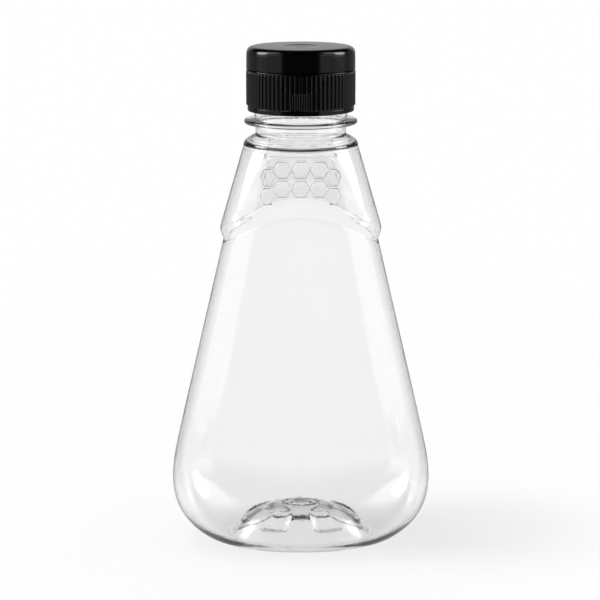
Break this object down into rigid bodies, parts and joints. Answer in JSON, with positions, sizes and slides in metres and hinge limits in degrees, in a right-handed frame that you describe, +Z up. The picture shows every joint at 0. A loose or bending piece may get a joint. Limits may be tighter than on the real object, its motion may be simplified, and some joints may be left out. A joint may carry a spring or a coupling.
{
  "type": "squeeze condiment bottle",
  "caption": "Clear tapered squeeze bottle with an arched shoulder ridge and a black ribbed screw closure that carries a flip lid, a slit valve and a tamper band.",
  "frame": {"origin": "centre of the bottle's base on the surface it stands on", "axes": "+Z up along the neck, +X across the label panel, -Y the front where the lid opens, +Y the lid's hinge"},
  "size_m": [0.099, 0.062, 0.192],
  "materials": {
    "clear_bottle": "clear blow-moulded PET",
    "black_closure": "moulded black polypropylene, smooth lid and ribbed skirt",
    "foil_liner": "foil-faced liner",
    "silicone": "translucent silicone"
  },
  "bodies": {
    "bottle_body": {"bottle": "clear_bottle"},
    "band": {"tamper_band": "black_closure"},
    "liner": {"liner_disc": "foil_liner"},
    "closure": {"closure_base": "black_closure", "slit_valve": "silicone", "valve_retainer": "black_closure", "living_hinge": "black_closure"},
    "lid": {"flip_lid": "black_closure"}
  },
  "joints": [
    {"name": "band_drop", "type": "slide", "parent": "bottle_body", "child": "band", "axis": [0, 0, -1], "range_m": [0, 0.0028]},
    {"name": "closure_lift", "type": "slide", "parent": "bottle_body", "child": "liner", "axis": [0, 0, 1], "range_m": [0, 0.0095]},
    {"name": "closure_turn", "type": "hinge", "parent": "liner", "child": "closure", "pos_m": [0, 0, 0.18], "axis": [0, 0, 1], "range_deg": [0, 810]},
    {"name": "lid_flip", "type": "hinge", "parent": "closure", "child": "lid", "pos_m": [0, 0.0208, 0.1835], "axis": [-1, 0, 0], "range_deg": [0, 165], "deforming": ["living_hinge"]}
  ],
  "couplings": [
    {"joint": "closure_lift", "follows": "closure_turn", "m_per_rad": 0.00066845}
  ]
}
